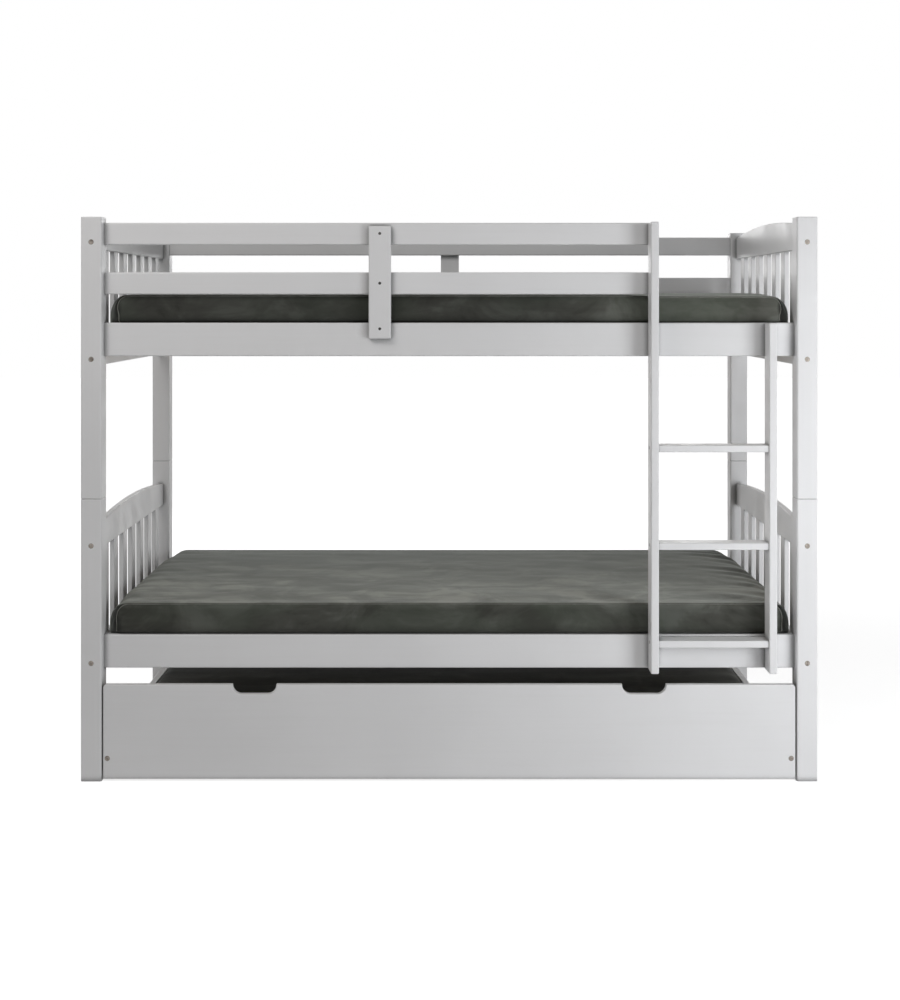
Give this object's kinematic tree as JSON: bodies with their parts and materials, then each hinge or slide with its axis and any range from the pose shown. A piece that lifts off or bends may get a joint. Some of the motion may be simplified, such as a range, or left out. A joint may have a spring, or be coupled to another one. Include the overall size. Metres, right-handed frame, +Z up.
{
  "type": "bunk bed",
  "caption": "White wooden bunk bed with slatted end panels, guard rails, a fixed ladder and a pull-out trundle bed on castors, with fabric mattresses.",
  "frame": {"origin": "on the floor, in the middle of the footprint, with the ladder counted in", "axes": "+X along the bed towards the ladder's end, -Y out of the front, where the ladder stands and the trundle pulls out, +Z up"},
  "size_m": [2.01, 1.018, 1.544],
  "materials": {
    "painted_wood": "satin white paint",
    "bare_wood": "planed pine",
    "mattress_fabric": "mottled grey-green plush",
    "bronzed_steel": "dull",
    "bright_steel": "zinc",
    "wheel_plastic": "matt"
  },
  "bodies": {
    "bed_frame": {"lower_post_front_left": "painted_wood", "lower_post_rear_left": "painted_wood", "lower_cross_rail_left": "painted_wood", "lower_arch_rail_left": "painted_wood", "lower_end_slats_left": "painted_wood", "lower_post_front_right": "painted_wood", "lower_post_rear_right": "painted_wood", "lower_cross_rail_right": "painted_wood", "lower_arch_rail_right": "painted_wood", "lower_end_slats_right": "painted_wood", "lower_side_rail_front": "painted_wood", "lower_side_rail_rear": "painted_wood", "lower_cleats": "bare_wood", "lower_deck_slats": "bare_wood", "lower_mattress": "mattress_fabric", "upper_post_front_left": "painted_wood", "upper_post_rear_left": "painted_wood", "upper_cross_rail_left": "painted_wood", "upper_arch_rail_left": "painted_wood", "upper_end_slats_left": "painted_wood", "upper_post_front_right": "painted_wood", "upper_post_rear_right": "painted_wood", "upper_cross_rail_right": "painted_wood", "upper_arch_rail_right": "painted_wood", "upper_end_slats_right": "painted_wood", "upper_side_rail_front": "painted_wood", "upper_side_rail_rear": "painted_wood", "upper_cleats": "bare_wood", "upper_deck_slats": "bare_wood", "upper_mattress": "mattress_fabric", "front_guard_rail_top": "painted_wood", "front_guard_rail_middle": "painted_wood", "front_guard_brace": "painted_wood", "rear_guard_rail_top": "painted_wood", "rear_guard_rail_middle": "painted_wood", "rear_guard_brace": "painted_wood", "ladder_stile_left": "painted_wood", "ladder_stile_right": "painted_wood", "ladder_tread_1": "painted_wood", "ladder_tread_2": "painted_wood", "ladder_tread_3": "painted_wood", "post_pins": "bright_steel", "frame_bolts": "bronzed_steel", "frame_barrel_nuts": "bright_steel", "frame_dowels": "bare_wood", "frame_screws": "bronzed_steel"},
    "trundle": {"trundle_front_panel": "painted_wood", "trundle_end_board_left": "painted_wood", "trundle_end_board_right": "painted_wood", "trundle_rear_board": "painted_wood", "trundle_cleats": "bare_wood", "trundle_deck_slats": "bare_wood", "trundle_mattress": "mattress_fabric", "trundle_fasteners": "bronzed_steel", "castor_brackets": "bright_steel", "castor_axles": "bright_steel"},
    "wheel_front_left": {"castor_wheel_front_left": "wheel_plastic"},
    "wheel_front_right": {"castor_wheel_front_right": "wheel_plastic"},
    "wheel_rear_left": {"castor_wheel_rear_left": "wheel_plastic"},
    "wheel_rear_right": {"castor_wheel_rear_right": "wheel_plastic"}
  },
  "joints": [
    {"name": "trundle_slide", "type": "slide", "parent": "bed_frame", "child": "trundle", "axis": [0, -1, 0], "range_m": [0, 0.8]},
    {"name": "wheel_spin_front_left", "type": "hinge", "parent": "trundle", "child": "wheel_front_left", "pos_m": [-0.93, -0.398, 0.018], "axis": [1, 0, 0], "continuous": true},
    {"name": "wheel_spin_front_right", "type": "hinge", "parent": "trundle", "child": "wheel_front_right", "pos_m": [0.93, -0.398, 0.018], "axis": [1, 0, 0], "continuous": true},
    {"name": "wheel_spin_rear_left", "type": "hinge", "parent": "trundle", "child": "wheel_rear_left", "pos_m": [-0.93, 0.272, 0.018], "axis": [1, 0, 0], "continuous": true},
    {"name": "wheel_spin_rear_right", "type": "hinge", "parent": "trundle", "child": "wheel_rear_right", "pos_m": [0.93, 0.272, 0.018], "axis": [1, 0, 0], "continuous": true}
  ],
  "couplings": [
    {"joint": "wheel_spin_front_left", "follows": "trundle_slide", "rad_per_m": 55.556},
    {"joint": "wheel_spin_front_right", "follows": "trundle_slide", "rad_per_m": 55.556},
    {"joint": "wheel_spin_rear_left", "follows": "trundle_slide", "rad_per_m": 55.556},
    {"joint": "wheel_spin_rear_right", "follows": "trundle_slide", "rad_per_m": 55.556}
  ]
}
